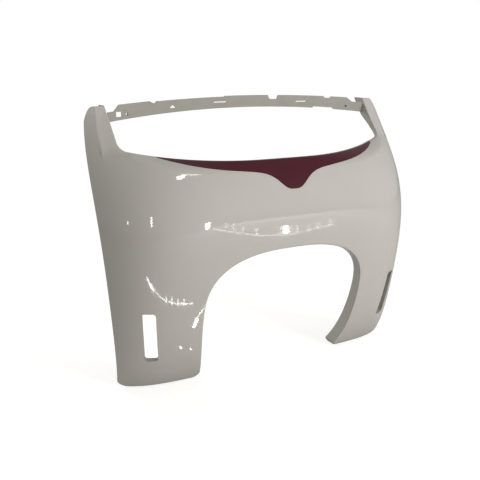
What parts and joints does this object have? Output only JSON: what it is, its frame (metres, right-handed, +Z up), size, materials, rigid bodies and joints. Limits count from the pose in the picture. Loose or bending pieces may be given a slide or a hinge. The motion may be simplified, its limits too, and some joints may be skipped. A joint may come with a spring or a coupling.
{
  "type": "scooter front panel",
  "caption": "Moulded scooter front panel with a wheel arch, a wide upper opening between pillars, a notched rear rim, reflector slots and a coloured film.",
  "frame": {"origin": "middle of the bounding box's lower face, under the mid-plane of the panel, level with the feet of its legs", "axes": "+Z up, -Y towards the front of the scooter, +X to the right when looking at the front face; the panel is symmetric about X = 0 apart from small cut-outs in the rear rim"},
  "size_m": [0.718, 0.2261, 0.5585],
  "materials": {
    "moulded_shell": "high-gloss moulded ABS, warm light grey",
    "maroon_film": "gloss vinyl film, dark maroon"
  },
  "bodies": {
    "root": {"front_panel": "moulded_shell", "decal_film": "maroon_film"}
  },
  "joints": []
}
